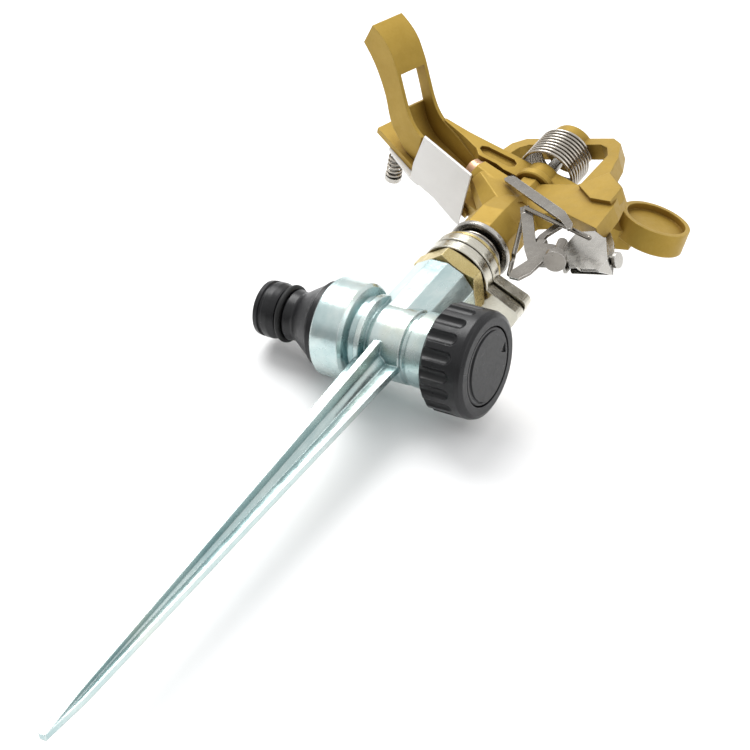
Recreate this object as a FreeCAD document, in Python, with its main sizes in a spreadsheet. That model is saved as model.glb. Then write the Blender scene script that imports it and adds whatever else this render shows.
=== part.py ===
import FreeCAD
import Part
import Sketcher
import os
import math

# Part-circle impact sprinkler on a cast ground spike, standing upright.
# Millimetres. +Z is the axis the head turns on, the hose plug points to -X,
# the flow knob to +X. z = 0 is the ground line just under the hose collar.

doc = FreeCAD.newDocument("sprinkler")
V = FreeCAD.Vector
ROT = FreeCAD.Rotation
PLC = FreeCAD.Placement

SIZES = {
    # ground spike and tee
    "teez": 20, "spiketip": 163, "ribtop": 10, "ribwide": 7.8, "ribtip": 2.6, "ribthick": 2.2,
    "tuber": 12, "tubetop": 49, "collarr": 16, "collarx": 22.8, "bossend": 17,
    "passager": 5.2, "socketr": 13.3, "socketend": 12.2,
    # knob
    "knobback": 17.3, "knobface": 32.6, "knobr": 17.2,
    # bearing stack
    "hexflats": 22, "hexz": 50, "hextop": 56, "sleever": 9.8, "collarout": 12,
    "collarah": 4.0, "collarbh": 3.8, "flowr": 6.5,
    # head
    "nozelev": 18.5, "nozr": 3.5, "nozout": 21, "nozz": 106,
    "bridgeaz": 167, "armaz": 197, "bridget": 6, "bossr": 8.0, "pinr": 2.0,
    # arm
    "wallk": 6.5, "wallt": 1.3, "coilr": 9.4, "wirer": 0.55, "coilpitch": 1.66,
    "cupr": 11.8, "cupdeep": 8, "cuptilt": 70,
    # deflector and trip parts
    "flapt": 1.0, "pivotx": 51.6, "pivotz": 110.6, "trippinz": 70, "trippiny": -0.5,
}

sheet = doc.addObject("Spreadsheet::Sheet", "Sizes")
for row, (name, value) in enumerate(SIZES.items(), start=1):
    sheet.set("A%d" % row, name)
    sheet.set("B%d" % row, str(value))
    sheet.setAlias("B%d" % row, name)
doc.recompute()


def val(name):
    return float(sheet.get(name))


nodes = []


def origin_plane(body, role):
    for item in body.Origin.OriginFeatures:
        if item.Role == role:
            return item
    raise ValueError(role)


def new_body(label, turn=None):
    body = doc.addObject("PartDesign::Body", label)
    if turn:
        body.setExpression("Placement.Rotation.Angle", "Sizes.%s" % turn)
        body.Placement = PLC(V(0, 0, 0), V(0, 0, 1), val(turn))
    nodes.append(body)
    return body


def sketch(body, role, base=(0, 0, 0), rotation=None):
    item = body.newObject("Sketcher::SketchObject", body.Label + "_sk")
    item.AttachmentSupport = [(origin_plane(body, role), "")]
    item.MapMode = "FlatFace"
    item.AttachmentOffset = PLC(V(*base), rotation or ROT())
    return item


def circle(item, x, y, radius):
    size = val(radius) if isinstance(radius, str) else radius
    index = item.addGeometry(Part.Circle(V(x, y, 0), V(0, 0, 1), size), False)
    item.addConstraint(Sketcher.Constraint("Radius", index, size))
    if isinstance(radius, str):
        item.setExpression("Constraints[%d]" % (item.ConstraintCount - 1), "Sizes.%s" % radius)
    return index


def outline(item, points):
    first = None
    count = len(points)
    for k in range(count):
        a = points[k]
        b = points[(k + 1) % count]
        index = item.addGeometry(Part.LineSegment(V(a[0], a[1], 0), V(b[0], b[1], 0)), False)
        if first is None:
            first = index
    for k in range(count):
        item.addConstraint(Sketcher.Constraint("Coincident", first + k, 2, first + (k + 1) % count, 1))
    return first


def pad(body, item, length, middle=True, back=False):
    feature = body.newObject("PartDesign::Pad", body.Label + "_pad")
    feature.Profile = item
    feature.Length = val(length) if isinstance(length, str) else length
    if isinstance(length, str):
        feature.setExpression("Length", "Sizes.%s" % length)
    if middle:
        feature.SideType = "Symmetric"
    feature.Reversed = back
    doc.recompute()
    return feature


def pocket(body, item, length, middle=True, back=False):
    before = body.Shape.Volume
    feature = body.newObject("PartDesign::Pocket", body.Label + "_cut")
    feature.Profile = item
    feature.Length = length
    if middle:
        feature.SideType = "Symmetric"
    feature.Reversed = back
    doc.recompute()
    if body.Shape.Volume >= before - 1e-3:
        raise ValueError("pocket removed nothing in " + body.Label)
    return feature


def turned(body, role, points, axis, base=(0, 0, 0), rotation=None):
    item = sketch(body, role, base, rotation)
    outline(item, points)
    feature = body.newObject("PartDesign::Revolution", body.Label + "_rev")
    feature.Profile = item
    feature.ReferenceAxis = (item, [axis])
    feature.Angle = 360.0
    doc.recompute()
    return feature


def rounded(body, edges_of, radius):
    names = []
    for k, edge in enumerate(body.Shape.Edges, start=1):
        if edges_of(edge):
            names.append("Edge%d" % k)
    if not names:
        return None
    tip = body.Tip
    feature = body.newObject("PartDesign::Fillet", body.Label + "_fillet")
    feature.Base = (tip, names)
    feature.Radius = radius
    doc.recompute()
    if "Invalid" in feature.State or not body.Shape.isValid():
        doc.removeObject(feature.Name)
        body.Tip = tip
        doc.recompute()
        return None
    return feature


def solid(label, shape, turn=None):
    item = doc.addObject("Part::Feature", label)
    item.Shape = shape
    if turn:
        item.Placement = PLC(V(0, 0, 0), V(0, 0, 1), val(turn))
    nodes.append(item)
    return item


def spin(points):
    # r, z pairs turned round Z
    wire = Part.makePolygon([V(r, 0, z) for r, z in points] + [V(points[0][0], 0, points[0][1])])
    return Part.Face(wire).revolve(V(0, 0, 0), V(0, 0, 1), 360)


def along_x(shape, height):
    # local +Z laid along world +X at the given height
    shape.Placement = PLC(V(0, 0, height), ROT(V(0, 1, 0), 90))
    return shape


def lathe(label, points, along=False):
    # r, z pairs turned round Z, or x, r pairs turned round the hose axis
    body = new_body(label)
    if along:
        turned(body, "XZ_Plane", points, "H_Axis", (0, val("teez"), 0))
    else:
        turned(body, "XZ_Plane", points, "V_Axis")
    return body


def coil(radius, wire, z0, pitch, turns):
    # round-wire coil made of half-turn arcs, each tilted to climb half a pitch
    rise = pitch / 2
    tilt = math.degrees(math.atan2(rise, 2 * radius))
    reach = math.hypot(radius, rise / 2)
    halves = []
    for k in range(2 * turns):
        half = Part.makeTorus(reach, wire, V(0, 0, 0), V(0, 0, 1), 0, 360, 180)
        half.rotate(V(0, 0, 0), V(0, 1, 0), tilt)
        half.rotate(V(0, 0, 0), V(0, 0, 1), 180 * (k % 2))
        half.translate(V(0, 0, z0 + rise * (k + 0.5)))
        halves.append(half)
    return halves[0].multiFuse(halves[1:])


def smooth(points, steps):
    # Catmull-Rom curve through the points
    out = []
    count = len(points)
    for k in range(count - 1):
        a = points[max(k - 1, 0)]
        b = points[k]
        c = points[k + 1]
        d = points[min(k + 2, count - 1)]
        for n in range(steps):
            t = n / steps
            out.append(tuple(0.5 * (2 * b[i] + (c[i] - a[i]) * t + (2 * a[i] - 5 * b[i] + 4 * c[i] - d[i]) * t * t
                                    + (3 * b[i] - a[i] - 3 * c[i] + d[i]) * t ** 3) for i in (0, 1)))
    out.append(tuple(points[-1]))
    return out


def beside(points, gap):
    # the same curve moved sideways by gap, to the left of its direction
    out = []
    count = len(points)
    for k in range(count):
        a = points[max(k - 1, 0)]
        b = points[min(k + 1, count - 1)]
        dx = b[0] - a[0]
        dy = b[1] - a[1]
        size = math.hypot(dx, dy)
        out.append((points[k][0] - dy / size * gap, points[k][1] + dx / size * gap))
    return out


def rod(a, b, radius):
    start = V(*a)
    way = V(*b) - start
    return Part.makeCylinder(radius, way.Length, start, way)


def octagons(levels, base=None, direction=None):
    # stacked eight-sided sections (distance, corner radius) joined by flat facets
    wires = []
    for z, r in levels:
        corners = [V(r * math.cos(math.radians(22.5 + 45 * k)), r * math.sin(math.radians(22.5 + 45 * k)), z)
                   for k in range(8)]
        wires.append(Part.makePolygon(corners + [corners[0]]))
    shape = Part.makeLoft(wires, True, True)
    if direction:
        shape.Placement = PLC(base, ROT(V(0, 0, 1), direction))
    return shape


# ---------------------------------------------------------------- base
def spike_casting():
    body = new_body("spike_casting")
    tz = val("teez")
    top = val("ribtop")
    wide = val("ribwide")
    tip = val("ribtip")
    deep = val("spiketip")
    rib = [(-wide, top), (-wide * 0.93, -2), (-tip, -deep + 16), (-1.0, -deep), (1.0, -deep),
           (tip, -deep + 16), (wide * 0.93, -2), (wide, top), (4, top + 4), (-4, top + 4)]
    item = sketch(body, "XZ_Plane")
    outline(item, rib)
    pad(body, item, "ribthick")
    item = sketch(body, "YZ_Plane")
    outline(item, rib)
    pad(body, item, "ribthick")
    turned(body, "XZ_Plane", [(0, top + 4), (3.6, top + 4), (3.0, -20), (1.5, -deep + 18), (0, -deep + 8)], "V_Axis")
    # tee: horizontal barrel with hose collar, upright faceted tube
    cx = val("collarx")
    r = val("tuber")
    c = val("collarr")
    barrel = [(-cx, 0), (-cx, c - 0.9), (-cx + 0.8, c), (-12.2, c), (-11.2, c - 0.9), (-10.2, c - 3.6),
              (-8.2, c - 3.9), (-7.6, c - 2.4), (-6.0, c - 2.6), (-5.0, c - 4.8), (-3, r), (7.6, r),
              (8.2, r - 0.9), (9.4, r - 0.9), (10.0, r), (val("bossend") - 0.8, r), (val("bossend"), r - 0.8),
              (val("bossend"), 0)]
    turned(body, "XZ_Plane", barrel, "H_Axis", (0, tz, 0))
    item = sketch(body, "XY_Plane", (0, 0, tz))
    sides = 12
    outline(item, [(r * math.cos(math.pi * (2 * k + 1) / sides), r * math.sin(math.pi * (2 * k + 1) / sides))
                   for k in range(sides)])
    pad(body, item, val("tubetop") - tz, False)
    # hose socket, water way, riser thread bore and stem bore
    item = sketch(body, "YZ_Plane", (0, tz, -cx))
    circle(item, 0, 0, "socketr")
    pocket(body, item, cx - val("socketend"), False, True)
    item = sketch(body, "YZ_Plane", (0, tz, -12.4))
    circle(item, 0, 0, "passager")
    pocket(body, item, 11.4, False, True)
    item = sketch(body, "YZ_Plane", (0, tz, -1.5))
    circle(item, 0, 0, 7.2)
    pocket(body, item, 9.0, False, True)
    item = sketch(body, "YZ_Plane", (0, tz, 7.0))
    circle(item, 0, 0, 8.6)
    pocket(body, item, 12, False, True)
    item = sketch(body, "XY_Plane", (0, 0, 24))
    circle(item, 0, 0, "passager")
    pocket(body, item, 30, False, True)
    item = sketch(body, "XY_Plane", (0, 0, 37))
    circle(item, 0, 0, 9.6)
    pocket(body, item, 20, False, True)
    return body


def hose_plug():
    pts = [(-49.1, 5.4), (-49.1, 7.7), (-48.3, 8.9), (-46.9, 9.1), (-46.5, 8.4), (-45.7, 8.4), (-45.3, 9.15),
           (-43.3, 9.15), (-41.6, 8.6), (-40.9, 8.3), (-40.6, 7.4), (-37.8, 7.4), (-37.5, 8.3), (-34.8, 7.9),
           (-33.9, 8.2), (-26.0, 13.2), (-25.2, 14.0), (-23.1, 14.0), (-23.1, 13.0), (-22.3, 12.4),
           (-21.6, 12.9), (-16.0, 12.9), (-15.2, 12.0), (-15.2, 5.4)]
    lathe("hose_plug", pts, True)
    ring = Part.makeTorus(8.42, 1.0, V(0, 0, -39.2))
    solid("plug_oring", along_x(ring, val("teez")))
    lathe("inlet_seal", [(-15.15, 5.6), (-15.15, 12.6), (-12.25, 12.6), (-12.25, 5.6)], True)


def valve():
    lathe("valve_disc", [(0.6, 2.0), (0.6, 6.6), (3.2, 6.6), (3.2, 2.0)], True)
    lathe("valve_stem", [(0.2, 0), (0.2, 1.95), (3.22, 1.95), (3.22, 4.4), (4.4, 4.4), (5.0, 3.0), (12.4, 3.0),
                         (12.6, 2.3), (14.4, 2.3), (14.6, 3.0), (28.6, 3.0), (28.6, 0)], True)
    lathe("valve_gland", [(8.0, 3.06), (8.0, 8.5), (16.9, 8.5), (16.9, 6.0), (19.0, 6.0), (19.0, 3.06)], True)
    ring = Part.makeTorus(2.67, 0.34, V(0, 0, 13.5))
    solid("stem_oring", along_x(ring, val("teez")))


def flow_knob():
    back = val("knobback")
    face = val("knobface")
    r = val("knobr")
    pts = [(3.4, back + 4.2), (6.8, back + 4.2), (6.8, back), (r - 1.6, back), (r, back + 1.4), (r, face - 2.0),
           (r - 0.5, face - 0.7), (r - 1.8, face), (12.9, face), (12.9, face - 1.6), (3.4, face - 1.6)]
    shape = spin(pts)
    grips = 18
    tools = []
    for k in range(grips):
        angle = 360.0 * k / grips
        bar = Part.makeCylinder(2.3, 10.0, V(r + 1.0, 0, back - 1.0), V(0, 0, 1))
        cap = Part.makeSphere(2.3, V(r + 1.0, 0, back + 9.0))
        tool = bar.fuse(cap)
        tool.rotate(V(0, 0, 0), V(0, 0, 1), angle)
        tools.append(tool)
    shape = shape.cut(tools)
    solid("flow_knob", along_x(shape, val("teez")))
    cap = spin([(0, face - 1.5), (12.6, face - 1.5), (12.6, face - 0.5), (12.2, face - 0.1), (0, face - 0.1)])
    arc_out = Part.makeCylinder(11.6, 2, V(0, 0, face - 0.5))
    arc_in = Part.makeCylinder(11.4, 4, V(-1.5, 0.9, face - 1.5))
    cap = cap.cut(arc_out.cut(arc_in))
    arrow = Part.Face(Part.makePolygon([V(-11.4, -1.5, 0), V(-8.2, 0.2, 0), V(-11.0, 2.2, 0), V(-11.4, -1.5, 0)]))
    arrow = arrow.extrude(V(0, 0, 2))
    arrow.translate(V(0, 0, face - 0.6))
    cap = cap.cut(arrow)
    solid("knob_cap", along_x(cap, val("teez")))


# ---------------------------------------------------------------- bearing
def bearing():
    hz = val("hexz")
    ht = val("hextop")
    body = new_body("bearing_nipple")
    item = sketch(body, "XY_Plane", (0, 0, hz))
    rad = val("hexflats") / math.sqrt(3)
    outline(item, [(rad * math.cos(math.radians(30 + 60 * k)), rad * math.sin(math.radians(30 + 60 * k)))
                   for k in range(6)])
    pad(body, item, ht - hz, False)
    item = sketch(body, "XY_Plane", (0, 0, 38))
    circle(item, 0, 0, 9.5)
    pad(body, item, hz - 38, False)
    item = sketch(body, "XY_Plane", (0, 0, ht))
    circle(item, 0, 0, "sleever")
    pad(body, item, 8.9, False)
    item = sketch(body, "XY_Plane", (0, 0, 38))
    circle(item, 0, 0, 8.5)
    pocket(body, item, 5.5, False, True)
    item = sketch(body, "XY_Plane", (0, 0, 40))
    circle(item, 0, 0, 6.56)
    pocket(body, item, 60, True)
    # bevelled corners of the hexagon, top and bottom
    for z0, tilt in ((hz, 1), (ht, -1)):
        ring = [(10.9, z0 - 0.01 * tilt), (14, z0 - 0.01 * tilt), (14, z0 + 1.6 * tilt)]
        item = sketch(body, "XZ_Plane")
        outline(item, ring)
        cut = body.newObject("PartDesign::Groove", "bearing_nipple_bevel")
        cut.Profile = item
        cut.ReferenceAxis = (item, ["V_Axis"])
        cut.Angle = 360.0
        doc.recompute()
    lathe("sleeve_rim", [(6.8, 64.95), (11.0, 64.95), (11.4, 65.3), (11.4, 66.2), (11.0, 66.6), (6.8, 66.6)])
    lathe("thrust_washer", [(6.8, 66.65), (10.6, 66.65), (10.6, 67.5), (6.8, 67.5)])
    lathe("top_seal", [(6.8, 67.55), (9.2, 67.55), (9.2, 69.0), (6.8, 69.0)])
    lathe("lower_seal", [(6.8, 42.2), (8.4, 42.2), (8.4, 43.45), (6.8, 43.45)])
    ring = Part.makeTorus(8.1, 0.55)
    spring = ring.copy()
    spring.translate(V(0, 0, 69.6))
    second = ring.copy()
    second.translate(V(0, 0, 70.65))
    link = Part.makeCylinder(0.4, 1.0, V(8.1, 0, 69.6))
    solid("bearing_spring", spring.fuse([second, link]))
    for label, z0, height, start in (("trip_collar_low", 56.45, val("collarah"), 31.0),
                                     ("trip_collar_high", 60.85, val("collarbh"), 27.0)):
        solid(label, trip_collar(z0, height, start))


def trip_collar(z0, height, azimuth):
    out = val("collarout")
    ring = spin([(val("sleever") + 0.06, z0), (out - 0.3, z0), (out, z0 + 0.4), (out, z0 + height - 0.4),
                 (out - 0.3, z0 + height), (val("sleever") + 0.06, z0 + height)])
    reach = 24.2
    loop = Part.makeBox(reach - out + 1.0, 8.6, height - 0.1, V(out - 1.0, -4.3, z0))
    corners = [e for e in loop.Edges if e.Vertexes[0].X > reach - 0.1 and e.Vertexes[1].X > reach - 0.1
               and abs(e.Vertexes[0].Z - e.Vertexes[1].Z) > 1]
    loop = loop.makeFillet(2.4, corners)
    for side in (-1, 1):
        channel = Part.makeBox(reach - out - 2.2, 2.9, height, V(out + 1.2, side * 2.05 - 1.45, z0 + 0.8))
        loop = loop.cut(channel)
    loop.rotate(V(0, 0, 0), V(0, 0, 1), azimuth)
    shape = ring.fuse(loop)
    return shape.cut(Part.makeCylinder(val("sleever") + 0.06, height + 2, V(0, 0, z0 - 1))).removeSplitter()


# ---------------------------------------------------------------- head
def prism(points, y0, y1):
    # out, z polygon extruded between two side positions
    wire = Part.makePolygon([V(x, y0, z) for x, z in points] + [V(points[0][0], y0, points[0][1])])
    return Part.Face(wire).extrude(V(0, y1 - y0, 0))


def bridge():
    # flat loop standing over the arm, its foot spread into the deck and the trip lug
    t = val("bridget") / 2
    outer = [(17.5, 138), (22.0, 135), (24.4, 128), (24.4, 100), (12, 92), (9, 84), (-9, 84), (-12, 90), (-23, 91.5),
             (-40, 82.5), (-39.5, 96), (-37, 107), (-27.5, 116), (-25.5, 126), (-22, 134.5), (-17.5, 138)]
    inner = [(14.5, 134), (17.6, 132), (19.6, 127), (19.6, 108.5), (-20.0, 108.5), (-20.8, 127), (-18, 132), (-14.5, 134)]
    loop = prism(outer, -t, t).cut(prism(inner, -t - 1, t + 1))
    block = prism([(-29, 113.6), (-38.4, 104.4), (-38.6, 96), (-30, 98), (-21.2, 106)], 0, t + 1.6)
    boss = Part.makeCylinder(val("bossr"), 5.0, V(0, 0, 133.6))
    post = Part.makeCylinder(3.6, 4.0, V(0, 0, 131.0))
    stop = Part.makeBox(2.6, 4.2, 9.0, V(19.4, t - 0.2, 108.6))
    return loop.fuse([block, boss, post, stop])


def head_body():
    turn = val("bridgeaz")
    armturn = val("armaz")
    core = octagons([(74.05, 9.8), (75.5, 10.3), (84, 10.3), (94, 8.6), (99, 6.1), (108.4, 5.9)])
    loop = bridge()
    loop.rotate(V(0, 0, 0), V(0, 0, 1), turn)
    elev = math.radians(val("nozelev"))
    direction = V(math.cos(elev), 0, math.sin(elev))
    exit_point = V(val("nozout"), 0, val("nozz"))
    root = exit_point - direction * 23.0
    tube = octagons([(0, 6.8), (8, 6.4), (20.4, 4.75)], root, direction)
    throat = octagons([(0, 9.0), (10, 7.0), (20.6, 4.8)], V(-1, 0, 90.6), V(17, 0, 12.4))
    px = val("pivotx")
    pz = val("pivotz")
    lug = prism([(16, 95), (40.5, 102.9), (61.8, 113.0), (59.3, 121), (57, 123.5), (46, 116), (16, 108)], -12.0, -9.8)
    tube = tube.fuse([throat, lug])
    tube.rotate(V(0, 0, 0), V(0, 0, 1), armturn)
    shape = core.fuse([loop, tube])
    # water way, nozzle seat and pivot holes
    way = Part.makeCylinder(val("flowr") + 0.02, 12, V(0, 0, 73)).fuse(Part.makeCylinder(5.0, 15, V(0, 0, 80)))
    jet = Part.makeCone(5.0, 3.3, 22.5, root, direction)
    seat = Part.makeCylinder(val("nozr") - 0.02, 6.0, exit_point - direction * 5.0, direction)
    hole = Part.makeCylinder(1.52, 4.4, V(px, -15, pz), V(0, 1, 0))
    rivet = Part.makeCylinder(1.5, 11.5, V(-35, -10, 88), V(0, 1, 0))
    rivet.rotate(V(0, 0, 0), V(0, 0, 1), turn)
    for tool in (jet, seat, hole):
        tool.rotate(V(0, 0, 0), V(0, 0, 1), armturn)
    shape = shape.cut([way, jet, seat, hole, rivet, Part.makeCylinder(val("pinr") - 0.01, 50, V(0, 0, 101))])
    solid("head_body", shape.removeSplitter())
    tip = Part.makeCylinder(val("nozr") - 0.04, 5.6, exit_point - direction * 4.9, direction)
    tip = tip.fuse(Part.makeCylinder(3.9, 1.0, exit_point - direction * 2.55, direction))
    tip = tip.cut(Part.makeCone(3.1, 2.1, 9, exit_point - direction * 6, direction))
    tip.rotate(V(0, 0, 0), V(0, 0, 1), armturn)
    solid("nozzle_tip", tip)
    lathe("lower_ring", [(6.56, 72.0), (10.4, 72.0), (10.8, 72.4), (10.8, 73.6), (10.4, 74.0), (6.56, 74.0)])
    lathe("flow_tube", [(4.8, 40.0), (8.2, 40.0), (8.2, 42.0), (6.5, 42.0), (6.5, 84.9), (4.8, 84.9)])
    lathe("fulcrum_pin", [(0, 102.0), (1.98, 102.0), (1.98, 138.0), (1.98, 138.65), (3.2, 138.65), (3.2, 139.6),
                          (2.2, 140.6), (0, 140.8)])


def plate(points, k0, k1):
    wire = Part.makePolygon([V(x, y, k0) for x, y in points] + [V(points[0][0], points[0][1], k0)])
    return Part.Face(wire).extrude(V(0, 0, k1 - k0))


def spoon():
    # open channel that rides in the jet: t along it, y towards the front, k across
    front = smooth([(51.3, 28.2), (47.4, 27.3), (43.7, 25.8), (40.9, 23.8), (38.4, 21.0), (36.6, 18.8), (35.0, 16.4),
                    (32.2, 12.0), (29.4, 7.8), (26.6, 4.6), (23.6, 2.6), (20.0, 1.6), (14.3, 0.8), (9.7, -0.6),
                    (5.2, -1.8)], 3)
    rear_up = smooth([(5.2, -7.7), (9.4, -7.5), (21.6, -6.6), (26.0, -5.2), (29.0, -3.0), (31.0, -0.4), (33.0, 3.2),
                      (36.2, 8.8), (39.4, 13.8), (43.6, 18.2), (48.6, 20.6), (54.0, 21.6)], 3)
    rear_low = smooth([(20.5, -9.4), (26.0, -8.8), (31.0, -6.0), (35.6, -1.9), (39.6, 5.5), (44.5, 11.7),
                       (49.1, 15.9), (54.0, 19.1)], 3)
    k = val("wallk")
    w = val("wallt")
    upper = plate(front + rear_up, k - w, k)
    lower = plate(front[:34] + rear_low, -k, -k + w)
    inner = rear_up[:19]
    floor = plate(inner + beside(inner, -w)[::-1], -k + 0.2, k - 0.2)
    shell = front[:18]
    roof = plate(shell + beside(shell, w)[::-1], -k + 0.2, k - 0.2)
    shape = upper.fuse([lower, floor, roof])
    shape.Placement = PLC(V(val("nozout"), 0, val("nozz")), ROT(V(0, 1, 0), -val("nozelev")))
    return shape


def arm():
    armturn = val("armaz")
    hub = spin([(3.25, 109.0), (7.0, 109.0), (7.5, 109.5), (7.5, 111.6), (6.2, 112.2), (6.2, 117.2), (3.25, 117.2)])
    beam = prism([(4, 109.4), (12, 109.4), (15, 110.3), (22, 110.3), (24.4, 112.8), (31, 115.4), (40, 118.2),
                  (40, 119.4), (30, 118.4), (4, 118.0)], -3.2, 2.6)
    slot = prism([(9.6, 113), (11.2, 111.6), (21, 111.8), (23.4, 113.4), (23.4, 115), (21.5, 116), (11.2, 116),
                  (9.6, 114.8)], 1.2, 4)
    beam = beam.cut(slot)
    tie = prism([(23.4, 113.0), (46, 120.6), (46, 121.6), (36, 119.7), (24, 118.0), (23.4, 117.9)], -6.0, 1.2)
    # rear beam runs down to the round counterweight with its shallow recess
    rear = prism([(-4, 109.2), (-19, 109.2), (-27, 105.0), (-34, 105.6), (-38, 108), (-38, 118), (-30, 118), (-24, 116),
                  (-4, 117.2)], -3.5, 4.6)
    tilt = math.radians(val("cuptilt"))
    normal = V(0, math.sin(tilt), math.cos(tilt))
    rim = V(-41.6, 6.3, 117.2)
    cup = Part.makeCylinder(val("cupr"), val("cupdeep"), rim - normal * val("cupdeep"), normal)
    recess = Part.makeCylinder(val("cupr") - 1.6, 4.0, rim - normal * 2.2, normal)
    shape = hub.fuse([beam, tie, spoon(), rear, cup])
    shape = shape.cut([Part.makeCylinder(3.25, 20, V(0, 0, 105)), recess]).removeSplitter()
    shape.rotate(V(0, 0, 0), V(0, 0, 1), armturn)
    solid("impact_arm", shape)
    lathe("arm_bush", [(2.05, 109.0), (3.2, 109.0), (3.2, 117.2), (2.05, 117.2)])
    solid("arm_spring", coil(val("coilr"), val("wirer"), 117.95, val("coilpitch"), 9))


def deflector():
    armturn = val("armaz")
    px = val("pivotx")
    pz = val("pivotz")
    slope = 0.30
    # flange under the jet and the web that carries it back to the pivot screw
    z0 = 93.6
    x0 = 16.7
    x1 = 38.6
    pts = [(x0, 8.0), (x1, 8.0), (41.0, -5.6), (41.0, -12.6), (30, -12.6), (19.5, -15.2), (17.6, -15.2)]
    wire = Part.makePolygon([V(x, y, z0 + (x - x0) * slope) for x, y in pts + pts[:1]])
    flange = Part.Face(wire).extrude(V(0, 0, val("flapt")))
    web = prism([(37.4, 100.0), (41, 101.0), (52.2, 107.4), (54.4, 109.0), (54.6, 112), (52.4, 113.6), (49.2, 112.6),
                 (46, 109.4), (37.4, 103)], -13.25, -12.25)
    flap = flange.fuse(web)
    flap = flap.cut(Part.makeCylinder(1.56, 6, V(px, -16, pz), V(0, 1, 0))).removeSplitter()
    flap.rotate(V(0, 0, 0), V(0, 0, 1), armturn)
    solid("deflector_flap", flap)
    screw = Part.makeCylinder(1.5, 13.2, V(px, -23.9, pz), V(0, 1, 0))
    screw = screw.fuse(Part.makeCylinder(3.0, 1.8, V(px, -25.6, pz), V(0, 1, 0)))
    screw = screw.cut(Part.makeBox(6.4, 0.9, 0.8, V(px - 3.2, -25.7, pz - 0.4)))
    screw.rotate(V(0, 0, 0), V(0, 0, 1), armturn)
    solid("deflector_screw", screw)
    spring = coil(2.5, 0.4, 0, 1.85, 5)
    spring.rotate(V(0, 0, 0), V(1, 0, 0), -90)
    spring.translate(V(px, -23.3, pz))
    spring.rotate(V(0, 0, 0), V(0, 0, 1), armturn)
    solid("deflector_spring", spring)


def trip_bracket():
    # folded channel hung under the deck lug: back web, front web, two flanges for the pin
    back = prism([(-30, 92), (-38, 92), (-44, 84), (-53.6, 65), (-53.6, 59), (-45, 59), (-37, 67), (-34.2, 74)],
                 -4.15, -3.05)
    front = prism([(-34.2, 80.1), (-40.4, 81.0), (-46.4, 76.8), (-53.4, 64.6), (-53.4, 59.6), (-46.4, 59.6),
                   (-43.8, 61.4), (-41.6, 61.0), (-39.4, 64.6), (-34.2, 67.4)], 1.9, 3.0)
    outer = prism([(-45.0, 77.4), (-46.4, 77.4), (-53.6, 65), (-53.6, 59), (-52.5, 59), (-52.5, 64.6)], -4.15, 3.0)
    inner = prism([(-34.2, 79.6), (-34.2, 67), (-35.3, 67), (-35.3, 79.6)], -4.15, 3.0)
    under = Part.Face(Part.makePolygon([V(-60, 3.2, 58.0), V(-60, -4.6, 67.4), V(-60, -4.6, 50), V(-60, 3.2, 50),
                                        V(-60, 3.2, 58.0)])).extrude(V(34, 0, 0))
    return back.fuse([front, outer, inner]).cut(under)


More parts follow.
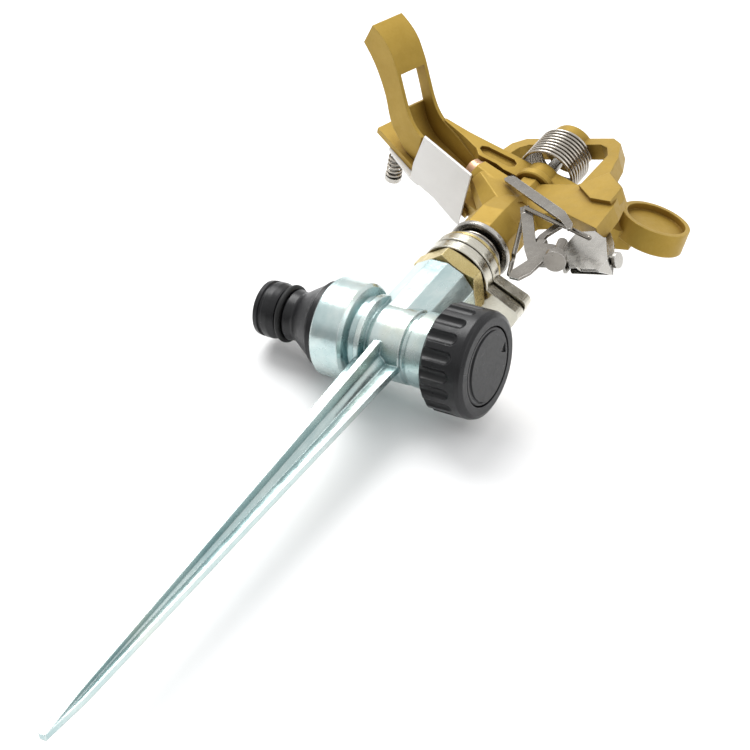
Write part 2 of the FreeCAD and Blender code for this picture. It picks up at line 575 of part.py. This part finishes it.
def trip_parts():
    turn = val("bridgeaz")
    py = val("trippiny")
    pz = val("trippinz")
    bore = Part.makeCylinder(1.55, 60, V(-60, py, pz), V(1, 0, 0))
    bracket = trip_bracket().cut(Part.makeCylinder(1.52, 60, V(-60, py, pz), V(1, 0, 0)))
    bracket = bracket.cut(Part.makeCylinder(1.5, 20, V(-35, -10, 88), V(0, 1, 0)))
    rivet = Part.makeCylinder(1.48, 6.2, V(-35, -4.9, 88), V(0, 1, 0))
    rivet = rivet.fuse(Part.makeCylinder(2.8, 1.0, V(-35, -5.17, 88), V(0, 1, 0)))
    pin = Part.makeCylinder(1.5, 28.9, V(-53.0, py, pz), V(1, 0, 0))
    pin = pin.fuse([Part.makeCylinder(2.6, 1.2, V(-54.0, py, pz), V(1, 0, 0)),
                    Part.makeCylinder(2.3, 0.8, V(-24.1, py, pz), V(1, 0, 0))])
    # lever: hub, plate, hairpin wire, round weight on its stud and a finger
    hub = Part.makeCylinder(3.0, 3.0, V(-30.5, py, pz), V(1, 0, 0))
    foot = Part.makeBox(3.0, 7.8, 4.5, V(-30.5, -0.5, 64.5))
    sheet_plate = prism([(-9.9, 87.3), (-12.5, 88.6), (-15.8, 85.5), (-27.5, 67), (-33.5, 66.5), (-38.5, 65.4),
                         (-40.2, 60), (-36, 57.5), (-35, 50), (-32.6, 46.4), (-28.6, 47.4), (-27.4, 51), (-30, 57),
                         (-25.6, 62.7)], 6.5, 7.3)
    stud_top = (-38.4, 8.3, 66.0)
    stud_end = (-41.0, 8.5, 57.0)
    head_end = (-41.7, 8.6, 54.6)
    wire = [rod((-12.8, 7.8, 86.2), (-46.0, 7.8, 69.6), 0.8), rod((-12.8, 7.8, 86.2), (-14.0, -4.5, 65.95), 0.8),
            Part.makeSphere(0.8, V(-12.8, 7.8, 86.2)), Part.makeSphere(0.8, V(-46.0, 7.8, 69.6)),
            Part.makeSphere(0.8, V(-14.0, -4.5, 65.95))]
    lever = sheet_plate.fuse([hub, foot, rod(stud_top, stud_end, 1.7), rod(stud_end, head_end, 3.6)] + wire).cut(bore)
    # blade that turns the arm back, with its strap to the same pin
    blade = prism([(2.5, 99.9), (1.6, 101.3), (-0.4, 101.5), (-3.5, 99.6), (-31.9, 80.6), (-38.6, 73.6), (-39.6, 70.8),
                   (-38.4, 70.2), (-33.3, 75.3), (1.7, 98.8)], 9.6, 10.5)
    strap = prism([(-31, 82.5), (-27.5, 84.5), (-24.4, 74), (-24.4, 68.5), (-27.2, 68.5), (-27.2, 74)], 4.6, 5.6)
    link = prism([(-30.8, 81.2), (-27.8, 83.2), (-26.6, 81.6), (-29.8, 79.9)], 4.6, 10.0)
    collar = Part.makeCylinder(3.0, 2.8, V(-27.2, py, pz), V(1, 0, 0))
    ledge = Part.makeBox(2.8, 6.1, 3.0, V(-27.2, -0.5, 68.5))
    blade = blade.fuse([strap, link, collar, ledge]).cut(bore)
    for label, shape in (("trip_bracket", bracket), ("bracket_rivet", rivet), ("trip_pin", pin),
                         ("trip_lever", lever), ("reverse_blade", blade)):
        shape = shape.removeSplitter()
        shape.rotate(V(0, 0, 0), V(0, 0, 1), turn)
        solid(label, shape)


spike_casting()
hose_plug()
valve()
flow_knob()
bearing()
head_body()
arm()
deflector()
trip_parts()

doc.recompute()
bad = []
for item in doc.Objects:
    for word in ("Invalid", "Error"):
        if word in item.State:
            bad.append(item.Name)
for item in nodes:
    if item.Shape.isNull() or not item.Shape.isValid() or item.Shape.Volume < 0.1:
        bad.append("shape " + item.Label)
    print(item.Label, len(item.Shape.Solids), len(item.Shape.Faces), round(item.Shape.Volume, 1))
if bad:
    raise ValueError(str(bad))
os.makedirs("parts", exist_ok=True)
for item in nodes:
    item.Shape.exportStep("parts/%s.step" % item.Label)
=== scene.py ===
import bpy
from mathutils import Matrix, Vector

# Part-circle impact sprinkler on a zinc-plated ground spike. Metres, in the part's own frame.

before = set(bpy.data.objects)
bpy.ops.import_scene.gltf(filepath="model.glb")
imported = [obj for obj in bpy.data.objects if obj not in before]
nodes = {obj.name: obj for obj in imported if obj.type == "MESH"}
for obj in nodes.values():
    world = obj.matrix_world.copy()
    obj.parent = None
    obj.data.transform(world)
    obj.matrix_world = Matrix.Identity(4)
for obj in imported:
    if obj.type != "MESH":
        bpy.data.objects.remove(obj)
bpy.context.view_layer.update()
scene = bpy.context.scene


# ---------------------------------------------------------------- materials
class Tree:
    """A material's node tree, with short calls for the nodes that the finishes are made of."""

    def __init__(self, name):
        self.mat = bpy.data.materials.new(name)
        self.mat.use_nodes = True
        self.nodes = self.mat.node_tree.nodes
        self.links = self.mat.node_tree.links
        self.shader = self.nodes["Principled BSDF"]
        self.coord = self.add("ShaderNodeTexCoord")

    def add(self, kind, **values):
        node = self.nodes.new(kind)
        for key, value in values.items():
            setattr(node, key, value)
        return node

    def link(self, a, b):
        self.links.new(a, b)

    def noise(self, scale, detail=3.0, rough=0.5, stretch=None, distortion=0.0):
        node = self.add("ShaderNodeTexNoise")
        node.inputs["Scale"].default_value = scale
        node.inputs["Detail"].default_value = detail
        node.inputs["Roughness"].default_value = rough
        node.inputs["Distortion"].default_value = distortion
        source = self.coord.outputs["Object"]
        if stretch:
            mapping = self.add("ShaderNodeMapping")
            mapping.inputs["Scale"].default_value = stretch
            self.link(source, mapping.inputs["Vector"])
            source = mapping.outputs["Vector"]
        self.link(source, node.inputs["Vector"])
        return node.outputs["Fac"]

    def ramp(self, source, stops):
        node = self.add("ShaderNodeValToRGB")
        points = node.color_ramp.elements
        while len(points) < len(stops):
            points.new(0.5)
        for point, (place, colour) in zip(points, stops):
            point.position = place
            point.color = (*colour, 1.0)
        self.link(source, node.inputs["Fac"])
        return node.outputs["Color"]

    def spread(self, source, low, high, a=0.3, b=0.7):
        """Maps a..b of the source onto low..high."""
        node = self.add("ShaderNodeMapRange")
        node.inputs["From Min"].default_value = a
        node.inputs["From Max"].default_value = b
        node.inputs["To Min"].default_value = low
        node.inputs["To Max"].default_value = high
        self.link(source, node.inputs["Value"])
        return node.outputs["Result"]

    def mix(self, factor, a, b, mode="MIX"):
        node = self.add("ShaderNodeMix", data_type="RGBA", blend_type=mode)
        sockets = (node.inputs["Factor"], node.inputs["A"], node.inputs["B"])
        for socket, value in zip(sockets, (factor, a, b)):
            if isinstance(value, tuple):
                socket.default_value = (*value, 1.0)
            elif isinstance(value, float):
                socket.default_value = value
            else:
                self.link(value, socket)
        return node.outputs["Result"]

    def edges(self, radius):
        """Rounded normal, and a mask that is 1 on worn corners."""
        bevel = self.add("ShaderNodeBevel", samples=4)
        bevel.inputs["Radius"].default_value = radius
        geometry = self.add("ShaderNodeNewGeometry")
        dot = self.add("ShaderNodeVectorMath", operation="DOT_PRODUCT")
        self.link(bevel.outputs["Normal"], dot.inputs[0])
        self.link(geometry.outputs["Normal"], dot.inputs[1])
        mask = self.spread(dot.outputs["Value"], 1.0, 0.0, 0.86, 0.99)
        return bevel.outputs["Normal"], mask

    def bump(self, height, strength, distance, normal=None):
        node = self.add("ShaderNodeBump")
        node.inputs["Strength"].default_value = strength
        node.inputs["Distance"].default_value = distance
        self.link(height, node.inputs["Height"])
        if normal:
            self.link(normal, node.inputs["Normal"])
        return node.outputs["Normal"]

    def painted_shade(self, colour, tint, distance=0.006, low=0.35):
        """Painted shade: darkens the colour towards the tint in corners and under neighbours, from
        ambient occlusion.
        """
        node = self.add("ShaderNodeAmbientOcclusion", samples=4)
        node.inputs["Distance"].default_value = distance
        shade = self.spread(node.outputs["AO"], 1.0, 0.0, low, 0.95)
        return self.mix(shade, colour, self.mix(1.0, colour, tint, "MULTIPLY"))


BUMP_DEPTH = 0.0001
PATINA_SCALE = 28.0


def finish(name, stops, wear, rough, metallic, edge, grain, cloud=60.0, stretch=None, bump=0.25,
           tint=None, patina=None, speckle=0.06, shine=0.5):
    """A clouded colour with worn edges, fine grain, painted shade in corners and uneven roughness.

    stops: the cloud's colours; wear: colour of worn corners; rough: lowest and highest roughness;
    edge: corner radius in metres; grain, cloud: noise scales; tint: painted shade colour; patina:
    tarnish.
    """
    tree = Tree(name)
    colour = tree.ramp(tree.noise(cloud, 4.0, 0.6, stretch), stops)
    normal, mask = tree.edges(edge)
    speck = tree.noise(grain, 3.0, 0.65, stretch)
    colour = tree.mix(tree.spread(speck, 0.0, speckle), colour, wear)
    if patina:
        stain = tree.noise(PATINA_SCALE, 5.0, 0.7, None, 0.6)
        colour = tree.mix(tree.spread(stain, 0.0, 0.65, 0.45, 0.72), colour, patina)
    colour = tree.mix(mask, colour, wear)
    # painted shade: ambient occlusion darkens corners and spots under neighbouring parts towards the
    # tint
    if tint:
        colour = tree.painted_shade(colour, tint)
    tree.link(colour, tree.shader.inputs["Base Color"])
    smear = tree.spread(tree.noise(grain * 0.35, 4.0, 0.6, stretch), rough[0], rough[1])
    tree.link(smear, tree.shader.inputs["Roughness"])
    tree.shader.inputs["Metallic"].default_value = metallic
    tree.shader.inputs["Specular IOR Level"].default_value = shine
    tree.link(tree.bump(speck, bump, BUMP_DEPTH, normal), tree.shader.inputs["Normal"])
    return tree.mat


# key: (material's name, values for finish, nodes that wear it)
FINISHES = {
    "gold": ("satin_gold", dict(
        stops=[(0.3, (0.330, 0.212, 0.034)), (0.5, (0.370, 0.240, 0.042)), (0.7, (0.405, 0.266, 0.052))],
        wear=(0.50, 0.35, 0.09), rough=(0.36, 0.54), metallic=0.40, edge=0.0005, grain=900.0,
        cloud=55.0, bump=0.40, tint=(0.36, 0.26, 0.14), speckle=0.14, shine=0.20,
    ), ["head_body", "impact_arm"]),
    "zinc": ("zinc_plating", dict(
        stops=[(0.28, (0.31, 0.44, 0.46)), (0.42, (0.48, 0.61, 0.61)), (0.55, (0.64, 0.73, 0.71)),
               (0.68, (0.68, 0.68, 0.54)), (0.8, (0.52, 0.66, 0.68))],
        wear=(0.80, 0.85, 0.83), rough=(0.14, 0.34), metallic=0.92, edge=0.0007, grain=420.0,
        cloud=26.0, stretch=(1, 1, 0.55), bump=0.5, tint=(0.34, 0.46, 0.48),
        patina=(0.42, 0.56, 0.57), speckle=0.14,
    ), ["spike_casting"]),
    "brass": ("machined_brass", dict(
        stops=[(0.3, (0.44, 0.34, 0.13)), (0.6, (0.58, 0.47, 0.21)), (0.8, (0.66, 0.55, 0.28))],
        wear=(0.80, 0.70, 0.42), rough=(0.18, 0.36), metallic=0.95, edge=0.0004, grain=1500.0,
        cloud=90.0, bump=0.3, tint=(0.40, 0.30, 0.15), speckle=0.10,
    ), ["valve_stem", "valve_gland", "bearing_nipple", "sleeve_rim", "flow_tube"]),
    "steel": ("bright_steel", dict(
        stops=[(0.3, (0.40, 0.38, 0.35)), (0.6, (0.53, 0.51, 0.47)), (0.8, (0.63, 0.61, 0.57))],
        wear=(0.80, 0.79, 0.77), rough=(0.22, 0.32), metallic=0.97, edge=0.0003, grain=1300.0,
        cloud=40.0, bump=0.03, tint=(0.26, 0.25, 0.23), speckle=0.05,
    ), ["thrust_washer", "lower_ring", "fulcrum_pin", "deflector_screw", "trip_bracket",
        "bracket_rivet", "trip_pin"]),
    "ring_steel": ("plated_ring_steel", dict(
        stops=[(0.3, (0.52, 0.50, 0.43)), (0.6, (0.64, 0.61, 0.52)), (0.8, (0.72, 0.69, 0.60))],
        wear=(0.86, 0.84, 0.78), rough=(0.14, 0.30), metallic=0.97, edge=0.0003, grain=1300.0,
        cloud=60.0, stretch=(1, 1, 5), bump=0.12, tint=(0.30, 0.27, 0.20), speckle=0.05,
    ), ["trip_collar_low", "trip_collar_high"]),
    "dark_steel": ("dark_steel", dict(
        stops=[(0.3, (0.20, 0.18, 0.155)), (0.6, (0.30, 0.28, 0.25)), (0.8, (0.40, 0.38, 0.35))],
        wear=(0.74, 0.72, 0.69), rough=(0.20, 0.30), metallic=0.97, edge=0.0003, grain=1200.0,
        cloud=40.0, bump=0.03, tint=(0.2, 0.18, 0.16), speckle=0.05,
    ), ["trip_lever", "reverse_blade"]),
    "spring": ("spring_wire", dict(
        stops=[(0.3, (0.40, 0.36, 0.31)), (0.7, (0.58, 0.54, 0.48))],
        wear=(0.80, 0.78, 0.75), rough=(0.14, 0.28), metallic=0.98, edge=0.0002, grain=2400.0,
        cloud=200.0, bump=0.12, tint=(0.20, 0.17, 0.12),
    ), ["bearing_spring", "arm_spring", "deflector_spring"]),
    # deflector flap: plated steel drawn as a pale matt sheet; its colour is partly its own grey and
    # partly painted reflection of the white surroundings
    "white": ("pale_reflection_sheet", dict(
        stops=[(0.3, (0.68, 0.66, 0.63)), (0.7, (0.76, 0.74, 0.71))],
        wear=(0.84, 0.83, 0.81), rough=(0.38, 0.52), metallic=0.10, edge=0.0003, grain=700.0,
        cloud=40.0, bump=0.12,
    ), ["deflector_flap"]),
    "copper": ("copper_nozzle", dict(
        stops=[(0.3, (0.50, 0.28, 0.16)), (0.7, (0.62, 0.38, 0.24))],
        wear=(0.76, 0.54, 0.38), rough=(0.26, 0.42), metallic=0.85, edge=0.0003, grain=1500.0,
        cloud=90.0, bump=0.2,
    ), ["nozzle_tip"]),
    "plastic": ("black_plastic", dict(
        stops=[(0.3, (0.0045, 0.0045, 0.005)), (0.7, (0.008, 0.008, 0.009))],
        wear=(0.030, 0.030, 0.033), rough=(0.26, 0.40), metallic=0.0, edge=0.0005, grain=1600.0,
        cloud=50.0, bump=0.35, speckle=0.10, shine=0.34,
    ), ["hose_plug", "flow_knob", "knob_cap", "arm_bush"]),
    "rubber": ("black_rubber", dict(
        stops=[(0.3, (0.006, 0.006, 0.006)), (0.7, (0.011, 0.011, 0.011))],
        wear=(0.022, 0.022, 0.022), rough=(0.42, 0.60), metallic=0.0, edge=0.0002, grain=1200.0,
        cloud=60.0, bump=0.25, speckle=0.10, shine=0.3,
    ), ["plug_oring", "inlet_seal", "valve_disc", "stem_oring", "top_seal", "lower_seal"]),
}


def paint():
    for name, values, wearers in FINISHES.values():
        material = finish(name, **values)
        for wearer in wearers:
            mesh = nodes[wearer].data
            mesh.materials.clear()
            mesh.materials.append(material)
            for face in mesh.polygons:
                face.material_index = 0


# ---------------------------------------------------------------- stage
TABLE_WAY = Vector((0.142, -0.990, 0.0)).normalized()   # out of the table's face
TABLE_FAR = 0.084      # table face behind the head
TABLE_NEAR = 0.0186    # table face behind the spike, which fades out towards the head
FADE = (0.015, 0.05)
PAPER = (0.93, 0.93, 0.93)
AIM = (0, 0, 0.03)


def sheet_material(name, colour, fade=None):
    """Matt paper seen from its front only; fade gives the heights between which it clears."""
    tree = Tree(name)
    pale = tuple(min(1.0, c * 1.01) for c in colour)
    paper = tree.ramp(tree.noise(40.0, 2.0), [(0.3, colour), (0.7, pale)])
    tree.link(paper, tree.shader.inputs["Base Color"])
    tree.shader.inputs["Roughness"].default_value = 0.9
    tree.shader.inputs["Specular IOR Level"].default_value = 0.1
    factor = tree.add("ShaderNodeNewGeometry").outputs["Backfacing"]
    if fade:
        split = tree.add("ShaderNodeSeparateXYZ")
        tree.link(tree.coord.outputs["Object"], split.inputs[0])
        away = tree.spread(split.outputs["Z"], 0.0, 1.0, fade[0], fade[1])
        most = tree.add("ShaderNodeMath", operation="MAXIMUM")
        tree.link(factor, most.inputs[0])
        tree.link(away, most.inputs[1])
        factor = most.outputs[0]
    clear = tree.add("ShaderNodeBsdfTransparent")
    blend = tree.add("ShaderNodeMixShader")
    tree.link(factor, blend.inputs["Fac"])
    tree.link(tree.shader.outputs[0], blend.inputs[1])
    tree.link(clear.outputs[0], blend.inputs[2])
    tree.link(blend.outputs[0], tree.nodes["Material Output"].inputs["Surface"])
    return tree.mat


def sheet(name, distance, half, centre_z, material):
    across = TABLE_WAY.cross(Vector((0, 0, 1)))
    corners = []
    for a, b in ((-1, -1), (1, -1), (1, 1), (-1, 1)):
        lift = Vector((0, 0, centre_z + b * half))
        corners.append(TABLE_WAY * -distance + across * (a * half) + lift)
    mesh = bpy.data.meshes.new(name)
    mesh.from_pydata([tuple(c) for c in corners], [], [(0, 1, 2, 3)])
    mesh.update()
    if mesh.polygons[0].normal.dot(TABLE_WAY) < 0:
        mesh.flip_normals()
    mesh.materials.append(material)
    item = bpy.data.objects.new(name, mesh)
    scene.collection.objects.link(item)
    return item


def area_light(name, place, size, power):
    data = bpy.data.lights.new(name, "AREA")
    data.shape = "DISK"
    data.size = size
    data.energy = power
    item = bpy.data.objects.new(name, data)
    item.location = place
    way = Vector(AIM) - Vector(place)
    item.rotation_euler = way.to_track_quat("-Z", "Y").to_euler()
    scene.collection.objects.link(item)


def build_tables():
    sheet("table_far", TABLE_FAR, 3.0, 0.0, sheet_material("table_paper", PAPER))
    half = 1.2
    patch = sheet_material("table_patch", PAPER, FADE)
    near = sheet("table_near", TABLE_NEAR, half, 0.06 - half, patch)
    near.visible_shadow = False


def build_world():
    """Sky that is bright on the side the table faces and dim behind it."""
    world = bpy.data.worlds.new("studio")
    scene.world = world
    world.use_nodes = True
    tree = world.node_tree
    back = tree.nodes["Background"]
    coord = tree.nodes.new("ShaderNodeTexCoord")
    dot = tree.nodes.new("ShaderNodeVectorMath")
    dot.operation = "DOT_PRODUCT"
    dot.inputs[1].default_value = (0.10, -0.86, 0.50)
    shift = tree.nodes.new("ShaderNodeMath")
    shift.operation = "MULTIPLY_ADD"
    shift.inputs[1].default_value = 0.5
    shift.inputs[2].default_value = 0.5
    ramp = tree.nodes.new("ShaderNodeValToRGB")
    points = ramp.color_ramp.elements
    points.new(0.45)
    points.new(0.60)
    levels = ((0.10, 0.32), (0.42, 0.45), (0.58, 0.92), (0.85, 1.0))
    for point, (place, level) in zip(points, levels):
        point.position = place
        point.color = (level, level * 1.005, level * 1.01, 1)
    tree.links.new(coord.outputs["Generated"], dot.inputs[0])
    tree.links.new(dot.outputs["Value"], shift.inputs[0])
    tree.links.new(shift.outputs[0], ramp.inputs["Fac"])
    tree.links.new(ramp.outputs["Color"], back.inputs["Color"])
    back.inputs["Strength"].default_value = 0.93


def build_camera():
    data = bpy.data.cameras.new("camera")
    data.sensor_width = 36.0
    data.lens = 116.18
    data.clip_start = 0.01
    data.clip_end = 20.0
    item = bpy.data.objects.new("camera", data)
    right = Vector((0.849, 0.122, 0.515)).normalized()
    back = Vector((0.473, -0.611, -0.634))
    back = (back - right * back.dot(right)).normalized()
    up = back.cross(right)
    turn = Matrix((right, up, back)).transposed()
    place = Vector((0.3525, -0.4529, -0.4669))
    item.matrix_world = Matrix.Translation(place) @ turn.to_4x4()
    scene.collection.objects.link(item)
    scene.camera = item


paint()
build_tables()
build_world()
area_light("key", (-0.42, -0.97, 0.45), 0.80, 10.5)
area_light("fill", (0.9, -0.5, 0.1), 0.7, 1.5)
build_camera()
scene.view_settings.view_transform = "Standard"
